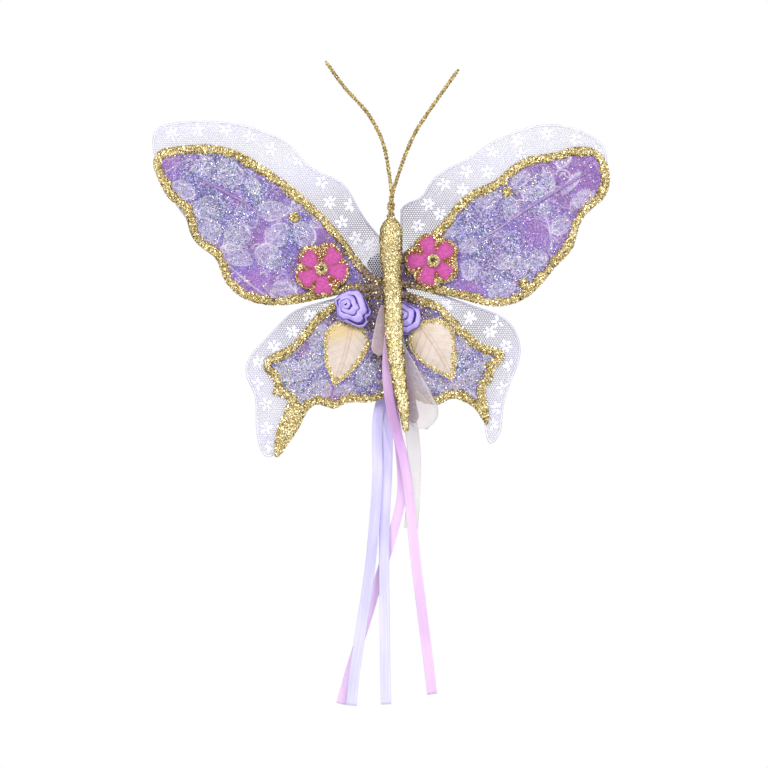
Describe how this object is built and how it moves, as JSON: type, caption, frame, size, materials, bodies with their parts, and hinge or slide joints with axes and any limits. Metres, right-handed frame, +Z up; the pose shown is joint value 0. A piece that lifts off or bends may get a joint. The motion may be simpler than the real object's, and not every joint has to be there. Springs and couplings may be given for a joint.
{
  "type": "clip-on butterfly ornament",
  "caption": "Hand-made fabric butterfly with glitter-edged lace wings that fold at the body, wire antennae, ribbon roses, trailing ribbons and a sprung clip behind.",
  "frame": {"origin": "middle of the clip's grip, between its jaws", "axes": "+X to the right as seen from the front, along the wing span; +Z up, towards the antennae; the front faces -Y"},
  "size_m": [0.1519, 0.0238, 0.2139],
  "materials": {
    "gold_glitter_felt": "coarse glitter over felt",
    "gold_tinsel_wire": "glittering tinsel over wire",
    "glitter_paste": "coarse glitter",
    "violet_cloth": "lace-printed cloth",
    "lace_net": "net lace",
    "felt": "felt",
    "glue": "clear hot-melt",
    "clip_enamel": "black enamel",
    "clip_steel": "bright",
    "pink_satin": "satin",
    "lilac_satin": "satin",
    "organza": "sheer",
    "pink_felt": "felt with glitter edge",
    "gold_bead": "glitter",
    "leaf_cloth": "stiffened cloth with glitter edge",
    "rose_ribbon": "satin ribbon"
  },
  "bodies": {
    "body_and_clip": {"torso": "gold_glitter_felt", "antenna_left": "gold_tinsel_wire", "antenna_right": "gold_tinsel_wire", "backing_strip": "felt", "glue_block": "glue", "clip_pad": "felt", "clip_fixed_arm": "clip_enamel", "clip_pin": "clip_steel", "clip_spring": "clip_steel", "ribbon_knot": "pink_satin", "pink_tail_right": "pink_satin", "pink_tail_left": "pink_satin", "pink_loop": "pink_satin", "lilac_tail_left": "lilac_satin", "lilac_tail_middle": "lilac_satin", "organza_loop_left": "organza", "organza_loop_right": "organza", "organza_tail": "organza"},
    "left_wings": {"fore_wing_left": "violet_cloth", "fore_border_left": "glitter_paste", "fore_spar_left": "violet_cloth", "fore_lace_left": "lace_net", "hind_wing_left": "violet_cloth", "hind_border_left": "glitter_paste", "hind_lace_left": "lace_net", "flower_left": "pink_felt", "flower_centre_left": "gold_bead", "leaf_left": "leaf_cloth", "rose_left": "rose_ribbon"},
    "right_wings": {"fore_wing_right": "violet_cloth", "fore_border_right": "glitter_paste", "fore_spar_right": "violet_cloth", "fore_lace_right": "lace_net", "hind_wing_right": "violet_cloth", "hind_border_right": "glitter_paste", "hind_lace_right": "lace_net", "flower_right": "pink_felt", "flower_centre_right": "gold_bead", "leaf_right": "leaf_cloth", "rose_right": "rose_ribbon"},
    "clip_jaw": {"clip_moving_arm": "clip_enamel"}
  },
  "joints": [
    {"name": "left_wings_fold", "type": "hinge", "parent": "body_and_clip", "child": "left_wings", "pos_m": [-0.00905, -0.0055, 0.00633], "axis": [0, 0, 1], "range_deg": [-15, 10]},
    {"name": "right_wings_fold", "type": "hinge", "parent": "body_and_clip", "child": "right_wings", "pos_m": [-0.0043, -0.0055, 0.00633], "axis": [0, 0, -1], "range_deg": [-15, 10]},
    {"name": "clip_jaw_open", "type": "hinge", "parent": "body_and_clip", "child": "clip_jaw", "pos_m": [-0.00644, 0.0012, 0.01072], "axis": [0.8572, 0, 0.515], "range_deg": [0, 22], "stiffness_Nm_per_rad": 0.02, "springref_deg": -28.65, "deforming": ["clip_spring"]}
  ]
}
